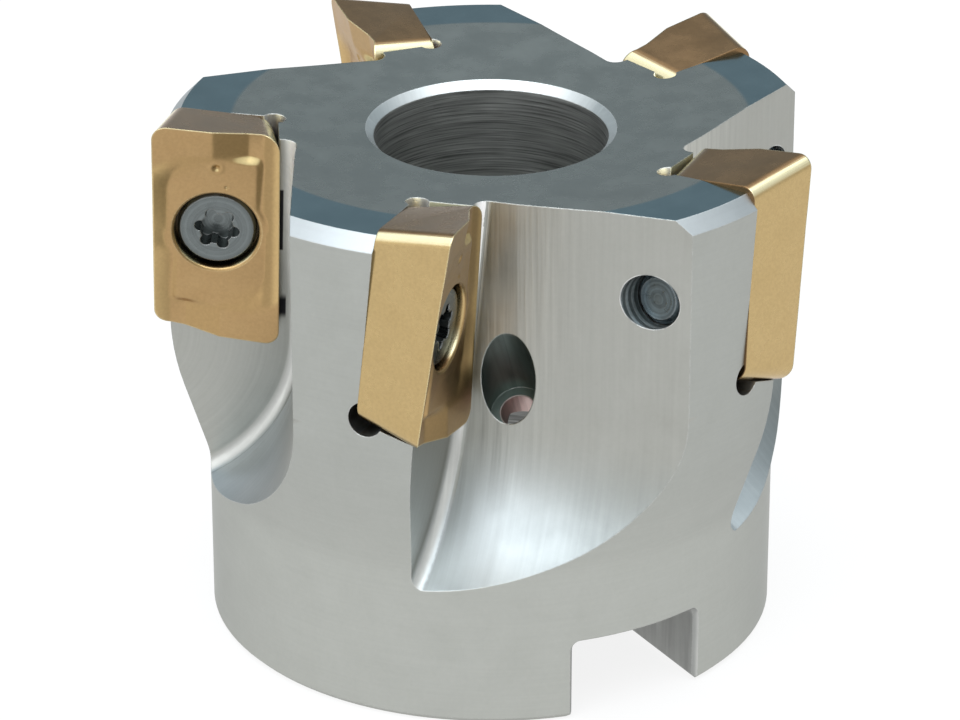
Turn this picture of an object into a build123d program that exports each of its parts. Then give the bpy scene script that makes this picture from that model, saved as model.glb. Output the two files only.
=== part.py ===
"""Shell-type indexable shoulder mill, 50 mm across the cutting edges and 40 mm high.

Millimetres. The origin is the centre of the back mounting face, +Z runs up the spindle axis
to the cutting face, and the two drive slots lie along Y. Seen from the cutting face the mill
turns counter-clockwise.

Three frames are used. The mill frame is the one above. The tooth frame has X outward through
a tooth and Y the way the tooth travels, and is turned about Z to reach each tooth. The seat
frame lies on the pocket's seat: X across the insert towards the axis, Y up the cutting edge,
Z out of the seat.
"""

import math
import os

from build123d import *

# Overall size
cutting_diameter = 50.0
overall_height = 40.0
tooth_count = 5
first_tooth_angle = 5.5

# Turned body
hub_diameter = 42.2
hub_height = 12.0
hub_blend = 5.0
land_diameter = 47.6
land_start = 20.7
land_blend = 20.0
tip_standout = 1.2
front_edge_chamfer = 1.0
front_ring_diameter = 38.0
front_dish_depth = 0.75
back_edge_break = 0.4

# Arbor bore, arbor screw seat and drive slots
arbor_bore_diameter = 22.0
arbor_bore_depth = 20.0
arbor_bore_chamfer = 0.6
arbor_screw_clearance = 11.0
arbor_screw_seat_height = 27.0
screw_counterbore_diameter = 17.2
counterbore_mouth_chamfer = 0.6
drive_slot_width = 10.4
drive_slot_depth = 6.3
drive_slot_fillet = 0.9
drive_slot_edge_break = 0.4

# Indexable insert, a positive parallelogram
insert_width = 9.4
insert_length = 17.9
insert_end_angle = 5.0
insert_nose_height = 5.8
insert_tail_height = 4.95
insert_plateau_height = 4.95
insert_side_clearance = 9.0
insert_end_clearance = 13.0
nose_corner_radius = 1.0
nose_set_up = 0.15
tail_corner_radius = 1.4
rake_land_width = 1.55
rake_land_drop = 0.42
plateau_half_width = 2.6
end_land_width = 1.6
end_land_drop = 0.3
end_wall_width = 0.45
end_blend_length = 2.4
end_shelf_drop = 0.15
end_shelf_edge = 0.2
end_ramp_foot = 2.0

# How the insert sits in the cutter
tip_lead_angle = 11.4
axial_rake = 5.6
edge_swing = 2.0
seat_turn = 1.7

# Chip gullet
gullet_wall_level = 4.25
gullet_floor_distance = 14.15
gullet_runout_radius = 13.8
gullet_runout_start = 22.65
gullet_root_fillet = 0.95
root_pass_width = 2.9
root_pass_tilt = 2.6

# Insert pocket
pocket_wall_gap = 0.02
pocket_wall_relief = 0.35
seat_relief_radius = 0.85
seat_relief_lift = 0.35
corner_relief_radius = 1.3
corner_relief_lift = 0.6
corner_relief_rise = 0.2

# Clamp screw, M4 with a six-lobe socket
screw_thread_diameter = 4.0
screw_shank_diameter = 3.9
screw_length = 10.4
screw_end_chamfer = 0.45
screw_head_diameter = 5.8
screw_head_top = 4.5
screw_head_rim = 0.6
screw_head_edge = 0.22
screw_cone_half_angle = 30.0
socket_core_radius = 1.24
socket_lobe_circle = 1.25
socket_lobe_radius = 0.43
socket_depth = 1.5
screw_turn_step = 25.0
insert_hole_diameter = 4.4
insert_recess_diameter = 6.5
insert_recess_floor = 3.5
screw_exit_diameter = 4.1
screw_exit_start = 4.7

# Coolant hole from the arbor bore to the gullet floor
coolant_height = 24.9
coolant_offset = 5.75
coolant_slope = 34.6
coolant_mouth_diameter = 4.1
coolant_mouth_depth = 4.6
coolant_feed_diameter = 2.6
coolant_feed_length = 9.0

# Lengths that only have to run clear of the metal
clear = 20.0

os.makedirs("parts", exist_ok=True)


def sine(angle):
    return math.sin(math.radians(angle))


def cosine(angle):
    return math.cos(math.radians(angle))


def tangent(angle):
    return math.tan(math.radians(angle))


# Sizes that follow from the ones above
hub_radius = hub_diameter / 2
land_radius = land_diameter / 2
front_ring_radius = front_ring_diameter / 2
front_face_height = overall_height - tip_standout
arbor_bore_radius = arbor_bore_diameter / 2
counterbore_radius = screw_counterbore_diameter / 2
counterbore_mouth_height = front_face_height - front_dish_depth
half_width = insert_width / 2
half_length = insert_length / 2
head_radius = screw_head_diameter / 2
cone_slope = tangent(screw_cone_half_angle)

# The rounded nose ends a little below the sharp corner, so that corner is set higher by as much.
sharp_tip = Vector(
    cutting_diameter / 2 * cosine(tip_lead_angle),
    cutting_diameter / 2 * sine(tip_lead_angle),
    overall_height + nose_set_up,
)

# The seat leans forward by the axial rake and is turned a little outward. The insert is swung
# in its seat so that the whole cutting edge sweeps one cylinder.
inward = Vector(-cosine(seat_turn), sine(seat_turn), 0)
seat_forward = Vector(sine(seat_turn), cosine(seat_turn), 0)
seat_normal = seat_forward * cosine(axial_rake) - Vector(0, 0, 1) * sine(axial_rake)
seat_upward = seat_forward * sine(axial_rake) + Vector(0, 0, 1) * cosine(axial_rake)
edge_upward = seat_upward * cosine(edge_swing) + inward * sine(edge_swing)
seat_across = edge_upward.cross(seat_normal)
seat_origin = (
    sharp_tip
    + seat_across * half_width
    - edge_upward * half_length
    - seat_normal * insert_nose_height
)
seat_plane = Plane(origin=seat_origin, x_dir=seat_across, z_dir=seat_normal)
seat_frame = seat_plane.location


def insert_reach(height):
    """Half the width and half the length of the insert at a height above its seat."""
    above = height - insert_nose_height
    across = half_width + above * tangent(insert_side_clearance)
    along = half_length + above * tangent(insert_end_clearance)
    return across, along


# Insert blank, lofted from the seat outline to the outline at the nose
with BuildPart() as insert_blank:
    for level in (0.0, insert_nose_height):
        reach_across, reach_along = insert_reach(level)
        end_drop = 2 * reach_across * tangent(insert_end_angle)
        with BuildSketch(Plane.XY.offset(level)) as outline:
            with BuildLine():
                Polyline(
                    (-reach_across, reach_along),
                    (reach_across, reach_along - end_drop),
                    (reach_across, -reach_along),
                    (-reach_across, -reach_along + end_drop),
                    close=True,
                )
            make_face()
            by_height = outline.vertices().sort_by(Axis.Y)
            nose_corners = [by_height[0], by_height[3]]
            fillet(nose_corners, radius=nose_corner_radius)
            tail_corners = [
                corner
                for corner in outline.vertices()
                if abs(abs(corner.Y) - (reach_along - end_drop)) < 0.05
            ]
            fillet(tail_corners, radius=tail_corner_radius)
    loft(ruled=True)


def rake_profile(share, shelves):
    """Points of the rake face across the insert, the outer edge first.

    The outer edge rises from the tail height to the nose height as the share goes from 0 to 1,
    and the inner edge falls by as much. Between the two lands lie two shelves, each given as
    how far across it ends and how high it is.
    """
    nose_edge = insert_tail_height + (insert_nose_height - insert_tail_height) * share
    tail_edge = insert_nose_height + insert_tail_height - nose_edge
    land = half_width - rake_land_width
    slope = rake_land_drop / rake_land_width
    return [
        (-half_width - 1, nose_edge + slope),
        (-land, nose_edge - rake_land_drop),
        *shelves,
        (land, tail_edge - rake_land_drop),
        (half_width + 1, tail_edge + slope),
    ]


# The air above the rake face: lands along all four edges and a raised centre between them.
# The sections lie parallel to the ends, and the second half is the first turned half round.
end_station = half_length - half_width * tangent(insert_end_angle)
nose_shelf_height = insert_nose_height - end_shelf_drop
tail_shelf_height = insert_tail_height - end_shelf_drop
end_shelves = [(end_shelf_edge, nose_shelf_height), (end_ramp_foot, tail_shelf_height)]
foot_shelves = [
    (end_shelf_edge, nose_shelf_height - end_land_drop),
    (end_ramp_foot, tail_shelf_height - end_land_drop),
]
wall_shelves = [
    (-plateau_half_width, nose_shelf_height - end_land_drop),
    (plateau_half_width, insert_plateau_height),
]
plateau_shelves = [
    (-plateau_half_width, insert_plateau_height),
    (plateau_half_width, insert_plateau_height),
]
sections = [
    (end_station + 0.6, end_shelves),
    (end_station - end_land_width, foot_shelves),
    (end_station - end_land_width - end_wall_width, wall_shelves),
    (end_station - end_land_width - end_blend_length, plateau_shelves),
]
with BuildPart() as chip_former:
    for side in (1, -1):
        for station, shelves in sections[::side]:
            share = (1 + station / half_length) / 2
            profile = [(side * x, z) for x, z in rake_profile(share, shelves)][::side]
            over = insert_nose_height + 3
            section_plane = Plane(
                origin=(0, side * station, 0),
                x_dir=(cosine(insert_end_angle), -sine(insert_end_angle), 0),
                z_dir=(-sine(insert_end_angle), -cosine(insert_end_angle), 0),
            )
            with BuildSketch(section_plane):
                with BuildLine():
                    Polyline(*profile, (half_width + 1, over), (-half_width - 1, over), close=True)
                make_face()
    loft(ruled=True)

with BuildPart() as insert:
    add(insert_blank.part)
    add(chip_former.part, mode=Mode.SUBTRACT)
    # Screw hole: clearance, the cone the screw head sits in, and the recess round the head
    cone_top = screw_head_top - screw_head_rim
    seat_cone_top = head_radius - (cone_top - insert_recess_floor) * cone_slope
    hole_radius = insert_hole_diameter / 2
    cone_foot = insert_recess_floor - (seat_cone_top - hole_radius) / cone_slope
    with BuildSketch(Plane.XZ):
        with BuildLine():
            Polyline(
                (0, -1),
                (hole_radius, -1),
                (hole_radius, cone_foot),
                (seat_cone_top, insert_recess_floor),
                (insert_recess_diameter / 2, insert_recess_floor),
                (insert_recess_diameter / 2, insert_nose_height + 2),
                (0, insert_nose_height + 2),
                close=True,
            )
        make_face()
    revolve(axis=Axis.Z, mode=Mode.SUBTRACT)

with BuildPart() as clamp_screw:
    shank_radius = screw_shank_diameter / 2
    screw_end = screw_head_top - screw_length
    shank_top = cone_top - (head_radius - shank_radius) / cone_slope
    with BuildSketch(Plane.XZ):
        with BuildLine():
            Polyline(
                (0, screw_end),
                (shank_radius - screw_end_chamfer, screw_end),
                (shank_radius, screw_end + screw_end_chamfer),
                (shank_radius, shank_top),
                (head_radius, cone_top),
                (head_radius, screw_head_top - screw_head_edge),
                (head_radius - screw_head_edge, screw_head_top),
                (0, screw_head_top),
                close=True,
            )
        make_face()
    revolve(axis=Axis.Z)
    with BuildSketch(Plane.XY.offset(screw_head_top)) as socket:
        Circle(socket_core_radius)
        with PolarLocations(socket_lobe_circle, 6):
            Circle(socket_lobe_radius)
    extrude(amount=-socket_depth, mode=Mode.SUBTRACT)

# Room cut for the insert: seat, inner wall and bottom wall, open outward and upward
with BuildPart() as pocket_cut:
    for level in (0.0, 2 * insert_nose_height):
        reach_across, reach_along = insert_reach(level)
        wall = reach_across + pocket_wall_gap
        end_slope = tangent(insert_end_angle)
        with BuildSketch(Plane.XY.offset(level)):
            with BuildLine():
                Polyline(
                    (wall, clear),
                    (wall, -reach_along - pocket_wall_gap * (1 + end_slope)),
                    (-clear, -reach_along - pocket_wall_gap + (reach_across + clear) * end_slope),
                    (-clear, clear),
                    close=True,
                )
            make_face()
    loft(ruled=True)
    seat_across_reach, seat_along_reach = insert_reach(0.0)
    # The inner wall leans away from the insert below the height of the gullet wall
    contact_reach, _ = insert_reach(gullet_wall_level)
    with BuildSketch(Plane.XZ.offset(seat_along_reach)):
        with BuildLine():
            Polyline(
                (seat_across_reach, 0),
                (seat_across_reach + pocket_wall_relief, 0),
                (contact_reach + pocket_wall_gap, gullet_wall_level),
                (contact_reach - 1, gullet_wall_level),
                close=True,
            )
        make_face()
    extrude(amount=-(seat_along_reach + clear))
    # Relief along the inner corner of the seat
    with BuildSketch(Plane.XZ.offset(seat_along_reach)):
        with Locations((seat_across_reach + 0.1, seat_relief_lift)):
            Circle(seat_relief_radius)
    extrude(amount=-(seat_along_reach + clear))
    # Relief bored in from the land along the bottom corner of the seat
    corner_bore = Plane(
        origin=(seat_across_reach, corner_relief_rise - seat_along_reach, corner_relief_lift),
        x_dir=(0, 0, 1),
        z_dir=(-cosine(insert_end_angle), sine(insert_end_angle), 0),
    )
    with BuildSketch(corner_bore):
        Circle(corner_relief_radius)
    extrude(amount=clear)
    # Thread for the clamp screw, opened out where it meets the gullet behind
    with BuildSketch(Plane.XY.offset(0.5)):
        Circle(screw_thread_diameter / 2)
    extrude(amount=-(clear - 4))
    with BuildSketch(Plane.XY.offset(-screw_exit_start)):
        Circle(screw_exit_diameter / 2)
    extrude(amount=-(clear - 4 - screw_exit_start))

# Chip gullet sweep in the tooth frame: an upright floor that runs out in a round
sweep_angle = 70.0
top_of_cut = overall_height + clear
with BuildPart() as gullet_sweep:
    runout_centre = (gullet_floor_distance + gullet_runout_radius, gullet_runout_start)
    with BuildSketch(Plane.XZ.offset(clear / 2)):
        with BuildLine():
            runout = CenterArc(runout_centre, gullet_runout_radius, 180, sweep_angle)
            Polyline(
                runout @ 1,
                (2 * clear, (runout @ 1).Y),
                (2 * clear, top_of_cut),
                (gullet_floor_distance, top_of_cut),
                runout @ 0,
            )
        make_face()
    extrude(amount=-(clear / 2 + 2 * clear))

# The gullet stands in front of a wall parallel to the seat. A last pass along the root is
# tilted a little into the floor, and the root is rounded.
gullet_wall = seat_plane.offset(gullet_wall_level)
root_top = Vector(gullet_floor_distance, 0, counterbore_mouth_height)
root_offset = (gullet_wall.origin - root_top).dot(seat_normal) / seat_normal.Y
crease = (gullet_floor_distance, root_offset + root_pass_width)
with BuildPart() as gullet_cut:
    add(gullet_sweep.part)
    with Locations(Location(crease, (0, 0, -root_pass_tilt)) * Location((-crease[0], -crease[1], 0))):
        add(gullet_sweep.part)
    split(bisect_by=gullet_wall, keep=Keep.TOP)
    root_edges = (
        gullet_cut.edges()
        .filter_by(lambda e: abs(gullet_wall.to_local_coords(e.center()).Z) < 0.01)
        .filter_by(
            lambda e: abs(e.center().X - gullet_floor_distance) < 0.5
            or e.geom_type != GeomType.LINE
        )
    )
    fillet(root_edges, radius=gullet_root_fillet)

# Coolant hole in the tooth frame, aimed from the arbor bore at the cutting edge
with BuildPart() as coolant_cut:
    mouth = Plane(
        origin=(gullet_floor_distance, coolant_offset, coolant_height),
        x_dir=(0, 1, 0),
        z_dir=(-sine(coolant_slope), 0, -cosine(coolant_slope)),
    )
    with BuildSketch(mouth.offset(-clear / 2)):
        Circle(coolant_mouth_diameter / 2)
    extrude(amount=clear / 2 + coolant_mouth_depth)
    with BuildSketch(mouth):
        Circle(coolant_feed_diameter / 2)
    extrude(amount=coolant_feed_length)


def slot_outline(side):
    """The drive slot seen from its end, rounded at the top corners."""
    with BuildSketch(mode=Mode.PRIVATE) as outline:
        with Locations((0, drive_slot_depth / 2 - 1)):
            Rectangle(2 * side, drive_slot_depth + 2)
        fillet(outline.vertices().group_by(Axis.Y)[-1], radius=drive_slot_fillet)
    add(outline.sketch)


with BuildPart() as cutter_body:
    # Turned outside, with the waist between hub and lands blended at both ends
    with BuildSketch(Plane.XZ) as blank_section:
        with BuildLine():
            Polyline(
                (0, 0),
                (hub_radius - back_edge_break, 0),
                (hub_radius, back_edge_break),
                (hub_radius, hub_height),
                (land_radius, land_start),
                (land_radius, front_face_height - front_edge_chamfer),
                (land_radius - front_edge_chamfer, front_face_height),
                (front_ring_radius, front_face_height),
                (counterbore_radius + counterbore_mouth_chamfer, counterbore_mouth_height),
                (0, counterbore_mouth_height),
                close=True,
            )
        make_face()
        for corner_height, blend in ((hub_height, hub_blend), (land_start, land_blend)):
            waist = [
                corner
                for corner in blank_section.vertices()
                if abs(corner.Y - corner_height) < 0.1
            ]
            fillet(waist, radius=blend)
    revolve(axis=Axis.Z)

    # Bored inside: arbor bore from the back, screw seat and its counterbore from the front
    with BuildSketch(Plane.XZ):
        with BuildLine():
            Polyline(
                (0, -1),
                (arbor_bore_radius + arbor_bore_chamfer + 1, -1),
                (arbor_bore_radius, arbor_bore_chamfer),
                (arbor_bore_radius, arbor_bore_depth),
                (arbor_screw_clearance / 2, arbor_bore_depth),
                (arbor_screw_clearance / 2, arbor_screw_seat_height),
                (counterbore_radius, arbor_screw_seat_height),
                (counterbore_radius, counterbore_mouth_height - counterbore_mouth_chamfer),
                (counterbore_radius + counterbore_mouth_chamfer + 2, counterbore_mouth_height + 2),
                (0, counterbore_mouth_height + 2),
                close=True,
            )
        make_face()
    revolve(axis=Axis.Z, mode=Mode.SUBTRACT)

    # Drive slots across the back face, with the edges broken at the mouth
    slot_side = drive_slot_width / 2
    slot_chord = math.sqrt(hub_radius**2 - slot_side**2)
    with BuildSketch(Plane.XZ.offset(-2 * clear)):
        slot_outline(slot_side)
        with BuildLine():
            Polyline(
                (-slot_side - drive_slot_edge_break - 1, -1),
                (0, slot_side + drive_slot_edge_break),
                (slot_side + drive_slot_edge_break + 1, -1),
                close=True,
            )
        make_face()
    extrude(amount=4 * clear, mode=Mode.SUBTRACT)
    # The same break where the slots come out through the hub
    for end in (1, -1):
        with BuildSketch(Plane.XZ.offset(end * (slot_chord - drive_slot_edge_break))):
            slot_outline(slot_side)
        with BuildSketch(Plane.XZ.offset(end * (slot_chord + 1))):
            slot_outline(slot_side + drive_slot_edge_break + 1)
        loft(ruled=True, mode=Mode.SUBTRACT)

    # Gullets, insert pockets and coolant holes, one of each for every tooth
    with PolarLocations(0, tooth_count, start_angle=first_tooth_angle):
        add(gullet_cut.part, mode=Mode.SUBTRACT)
    with PolarLocations(0, tooth_count, start_angle=first_tooth_angle):
        with Locations(seat_frame):
            add(pocket_cut.part, mode=Mode.SUBTRACT)
    with PolarLocations(0, tooth_count, start_angle=first_tooth_angle):
        add(coolant_cut.part, mode=Mode.SUBTRACT)

cutter_body.part.label = "cutter_body"
export_step(cutter_body.part, "parts/cutter_body.step")

# One insert and one clamp screw seated in every pocket, each screw stopped at its own turn
for tooth in range(tooth_count):
    turn = Location((0, 0, 0), (0, 0, first_tooth_angle + tooth * 360 / tooth_count))
    with BuildPart() as seated_insert:
        with Locations(turn * seat_frame):
            add(insert.part)
    seated_insert.part.label = f"insert_{tooth + 1}"
    export_step(seated_insert.part, f"parts/insert_{tooth + 1}.step")
    screw_turn = Location((0, 0, 0), (0, 0, tooth * screw_turn_step))
    with BuildPart() as seated_screw:
        with Locations(turn * seat_frame * screw_turn):
            add(clamp_screw.part)
    seated_screw.part.label = f"clamp_screw_{tooth + 1}"
    export_step(seated_screw.part, f"parts/clamp_screw_{tooth + 1}.step")
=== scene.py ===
"""Indexable shoulder mill with five coated inserts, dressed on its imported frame.

The cutter stands on its mounting face with the spindle axis on Z. All lengths are metres.
"""

import math

import bpy
import numpy as np
from mathutils import Matrix, Vector


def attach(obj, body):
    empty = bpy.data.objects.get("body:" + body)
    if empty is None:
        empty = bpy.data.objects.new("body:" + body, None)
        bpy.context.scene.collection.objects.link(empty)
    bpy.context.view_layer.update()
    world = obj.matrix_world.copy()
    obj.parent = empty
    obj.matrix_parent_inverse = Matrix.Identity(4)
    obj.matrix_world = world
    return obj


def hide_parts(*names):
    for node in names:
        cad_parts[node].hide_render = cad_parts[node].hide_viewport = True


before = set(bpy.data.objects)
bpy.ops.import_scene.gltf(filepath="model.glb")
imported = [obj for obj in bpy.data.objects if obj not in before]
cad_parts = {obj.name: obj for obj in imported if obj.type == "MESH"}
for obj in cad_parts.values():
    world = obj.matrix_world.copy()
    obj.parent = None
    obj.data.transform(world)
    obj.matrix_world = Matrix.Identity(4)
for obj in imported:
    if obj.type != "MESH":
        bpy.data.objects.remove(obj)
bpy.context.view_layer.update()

MM = 0.001
TEETH = 5
FIRST_TOOTH_ANGLE = math.radians(5.5)
TOOTH_STEP = 2 * math.pi / TEETH
CUTTING_RADIUS = 25 * MM
CUTTER_HEIGHT = 40 * MM

# Turned and bored sizes that the finishes change at
FRONT_FACE_HEIGHT = 38.8 * MM
FRONT_RING_RADIUS = 19 * MM
BORE_RADIUS = 11 * MM
MIDDLE_RADIUS = 12 * MM
HUB_TOP = 15 * MM
SLOT_HALF_WIDTH = 5.2 * MM
SLOT_DEPTH = 6.3 * MM

# Chip gullet in the tooth frame: X outward through the tooth, Y the way it travels
FLOOR_DISTANCE = 14.15 * MM
RUNOUT_RADIUS = 13.8 * MM
RUNOUT_START = 22.65 * MM
ROOT_FILLET = 0.95 * MM
WALL_LEVEL = 4.25 * MM

# Relief along the inner corner of the insert's seat, whose mouth gets a painted highlight
SEAT_RELIEF_RADIUS = 0.85 * MM
SEAT_RELIEF_LIFT = 0.35 * MM

# Painted shadow where clearance gaps would show beside the insert's inner side: the top, foot, reach across
# and soft ends of each
GAP_SHADOW_START = 4.35 * MM
PAINTED_GAP_SHADOWS = (
    (3.3 * MM, -1.7 * MM, 4.83 * MM, 0.08 * MM),
    (-5.6 * MM, -7.3 * MM, 5.1 * MM, 0.35 * MM),
)

# Threaded hole of the clamp screw, seen from the gullet behind
SCREW_EXIT_RADIUS = 2.05 * MM
THREAD_PITCH = 0.7 * MM

# Coolant hole in the tooth frame, and the narrower feed that it steps down to
COOLANT_MOUTH = (FLOOR_DISTANCE, 5.75 * MM, 24.9 * MM)
COOLANT_SLOPE = math.radians(34.6)
COOLANT_RADIUS = 2.05 * MM
COOLANT_FEED_RADIUS = 1.3 * MM

# Where each tooth's share of the turn starts: for its gullet and insert, and for its screw's long hole
TOOTH_START = -TOOTH_STEP / 6
SCREW_START = -TOOTH_STEP * 0.55

# Insert and how it sits in the cutter
INSERT_WIDTH = 9.4 * MM
INSERT_LENGTH = 17.9 * MM
INSERT_NOSE_HEIGHT = 5.8 * MM
INSERT_TAIL_HEIGHT = 4.95 * MM
PLATEAU_HEIGHT = 4.95 * MM
END_ANGLE = math.radians(5)
SIDE_CLEARANCE = math.radians(9)
END_CLEARANCE = math.radians(13)
NOSE_SET_UP = 0.15 * MM
NOSE_CORNER_RADIUS = 1.0 * MM
TAIL_CORNER_RADIUS = 1.4 * MM
TIP_LEAD_ANGLE = math.radians(11.4)
AXIAL_RAKE = math.radians(5.6)
EDGE_SWING = math.radians(2.0)
SEAT_TURN = math.radians(1.7)

# Chip former pressed into the rake face
LAND_DROP = 0.42 * MM
LAND_FOOT_WIDTH = 0.35 * MM
LAND_FOOT_START = 1.4 * MM
END_LAND_WIDTH = 2.15 * MM
END_LAND_DROP = 0.3 * MM
END_WALL_WIDTH = 0.55 * MM
END_BLEND_LENGTH = 2.4 * MM
END_SHELF_DROP = 0.15 * MM
END_SHELF_EDGE = -0.3 * MM
END_RAMP_FOOT = 2.3 * MM
END_OVERRUN = 0.6 * MM
BOSS_RADIUS = 3.6 * MM

# Level centre of the rake face: how far it reaches to each side, at stations along from the hole
OUTER_STATIONS = (0, 3.3 * MM, 4.6 * MM, 5.6 * MM, 6.8 * MM)
OUTER_REACH = (-BOSS_RADIUS, -BOSS_RADIUS, -3.2 * MM, -2.3 * MM, -1.6 * MM)
INNER_STATIONS = (0, 5.4 * MM)
INNER_REACH = (2.75 * MM, 3.0 * MM)

# Small marks in the rake face: how far across and along they lie, their radius and their depth
PRESSED_MARKS = ((0.0, 5.35 * MM, 0.24 * MM, 0.2 * MM), (0.72 * MM, 3.7 * MM, 0.12 * MM, 0.1 * MM))

# Hole, the cone for the screw head and the recess round it
HOLE_RADIUS = 2.2 * MM
RECESS_RADIUS = 3.1 * MM
RECESS_FLOOR = 3.5 * MM
RECESS_LIP = 0.28 * MM
LIP_STEPS = 4
LIP_STEP_ANGLE = math.radians(20)
LIP_FLARE = (0.6 * MM, 0.5 * MM)
CONE_TOP_RADIUS = 2.669 * MM
CONE_HALF_ANGLE = math.radians(30)

# Fineness of the inserts' meshes, and how far the cutting forms reach past them
CORNER_STEPS = 8
ROUND_STEPS = 96
GRID_STEP = 0.1 * MM
GRID_REACH_ACROSS = 49
GRID_REACH_ALONG = 94
SMOOTHING_PASSES = 3
SHARP_ANGLE = math.radians(32)
OVERRUN = 1 * MM

UPRIGHT = Vector((0, 0, 1))
half_width = INSERT_WIDTH / 2
half_length = INSERT_LENGTH / 2

# The seat frame: X across the insert towards the axis, Y up the cutting edge, Z out of the seat.
sharp_tip = Vector(
    (
        CUTTING_RADIUS * math.cos(TIP_LEAD_ANGLE),
        CUTTING_RADIUS * math.sin(TIP_LEAD_ANGLE),
        CUTTER_HEIGHT + NOSE_SET_UP,
    )
)
inward = Vector((-math.cos(SEAT_TURN), math.sin(SEAT_TURN), 0))
seat_forward = Vector((math.sin(SEAT_TURN), math.cos(SEAT_TURN), 0))
seat_normal = seat_forward * math.cos(AXIAL_RAKE) - UPRIGHT * math.sin(AXIAL_RAKE)
seat_upward = seat_forward * math.sin(AXIAL_RAKE) + UPRIGHT * math.cos(AXIAL_RAKE)
edge_upward = seat_upward * math.cos(EDGE_SWING) + inward * math.sin(EDGE_SWING)
seat_across = edge_upward.cross(seat_normal)
seat_origin = (
    sharp_tip + seat_across * half_width - edge_upward * half_length - seat_normal * INSERT_NOSE_HEIGHT
)
SEAT_CORNER = half_width - INSERT_NOSE_HEIGHT * math.tan(SIDE_CLEARANCE) + 0.1 * MM
seat_turn = Matrix((seat_across, edge_upward, seat_normal)).transposed().to_4x4()
seat_frame = Matrix.Translation(seat_origin) @ seat_turn


# The inserts, with the finer forms of the rake face that the plain solids leave out.


def add_to_scene(name, data):
    """A new object in the scene from its mesh, lamp or camera data."""
    thing = bpy.data.objects.new(name, data)
    bpy.context.scene.collection.objects.link(thing)
    return thing


def between(value, places, heights):
    """Straight lines between given points."""
    return float(np.interp(value, places, heights))


def insert_outline(height):
    """Rounded outline of the insert at a height above its seat, as a ring of points."""
    above = height - INSERT_NOSE_HEIGHT
    across = half_width + above * math.tan(SIDE_CLEARANCE)
    along = half_length + above * math.tan(END_CLEARANCE)
    drop = 2 * across * math.tan(END_ANGLE)
    corners = [
        (Vector((-across, along)), NOSE_CORNER_RADIUS),
        (Vector((across, along - drop)), TAIL_CORNER_RADIUS),
        (Vector((across, -along)), NOSE_CORNER_RADIUS),
        (Vector((-across, drop - along)), TAIL_CORNER_RADIUS),
    ]
    ring = []
    for place, (corner, radius) in enumerate(corners):
        before = (corners[place - 1][0] - corner).normalized()
        after = (corners[(place + 1) % 4][0] - corner).normalized()
        half_angle = before.angle(after) / 2
        centre = corner + (before + after).normalized() * (radius / math.sin(half_angle))
        first = corner + before * (radius / math.tan(half_angle)) - centre
        last = corner + after * (radius / math.tan(half_angle)) - centre
        turn = first.angle_signed(last)
        for step in range(CORNER_STEPS + 1):
            angle = -turn * step / CORNER_STEPS
            x = first.x * math.cos(angle) - first.y * math.sin(angle)
            y = first.x * math.sin(angle) + first.y * math.cos(angle)
            ring.append(centre + Vector((x, y)))
    return [Vector((point.x, point.y, height)) for point in ring]


def plateau_edges(station):
    """How far the level centre reaches to the outer and to the inner side, round the screw hole."""
    outer = between(station, OUTER_STATIONS, OUTER_REACH)
    ring = math.sqrt(max(0.0, BOSS_RADIUS**2 - station**2))
    inner = max(ring, between(station, INNER_STATIONS, INNER_REACH))
    return outer, inner


def rake_height(x, y):
    """Height of the rake face. The second half is the first turned half round."""
    station = y + x * math.tan(END_ANGLE)
    if station < 0:
        x, station = -x, -station
    rise = INSERT_NOSE_HEIGHT - INSERT_TAIL_HEIGHT
    outer_edge = INSERT_TAIL_HEIGHT + rise * (1 + station / half_length) / 2
    inner_edge = INSERT_NOSE_HEIGHT + INSERT_TAIL_HEIGHT - outer_edge
    outer, inner = plateau_edges(station)
    inner_foot = inner + LAND_FOOT_WIDTH
    nose_shelf = INSERT_NOSE_HEIGHT - END_SHELF_DROP
    tail_shelf = INSERT_TAIL_HEIGHT - END_SHELF_DROP
    end = half_length - half_width * math.tan(END_ANGLE)
    foot = end - END_LAND_WIDTH
    shelves = [
        (end + END_OVERRUN, ((END_SHELF_EDGE, nose_shelf), (END_RAMP_FOOT, tail_shelf))),
        (foot, ((END_SHELF_EDGE, nose_shelf - END_LAND_DROP), (END_RAMP_FOOT, tail_shelf - END_LAND_DROP))),
        (foot - END_WALL_WIDTH, ((outer, nose_shelf - END_LAND_DROP), (inner, PLATEAU_HEIGHT))),
        (end - END_LAND_WIDTH - END_BLEND_LENGTH, ((outer, PLATEAU_HEIGHT), (inner, PLATEAU_HEIGHT))),
    ]
    heights = []
    for _, (first, second) in shelves:
        straight = between(inner_foot, (second[0], half_width), (second[1], inner_edge))
        foot_level = between(station, (0, LAND_FOOT_START), (straight, inner_edge - LAND_DROP))
        places = (-half_width, first[0], second[0], inner_foot, half_width)
        levels = (outer_edge, first[1], second[1], foot_level, inner_edge)
        heights.append(between(x, places, levels))
    stations = [place for place, _ in shelves]
    return between(station, stations[::-1], heights[::-1])


def smoothed(level):
    """Takes the hardness off the corners of a field of heights."""
    padded = np.pad(level, 1, mode="edge")
    around = padded[:-2, 1:-1] + padded[2:, 1:-1] + padded[1:-1, :-2] + padded[1:-1, 2:]
    return around / 8 + level / 2


def press_mark(level, xs, ys, mark):
    """Presses one round mark with a low rim into a field of heights."""
    across, along, radius, depth = mark
    gap = np.hypot(np.array(xs)[None, :] - across, np.array(ys)[:, None] - along)
    pit = depth * np.exp(-((gap / radius) ** 2))
    rim = 0.25 * depth * np.exp(-(((gap - 1.6 * radius) / (0.6 * radius)) ** 2))
    return level - pit + rim


def solid_from(name, points, faces):
    """A new piece from its points and faces."""
    mesh = bpy.data.meshes.new(name)
    mesh.from_pydata(points, [], faces)
    mesh.update()
    return add_to_scene(name, mesh)


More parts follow.
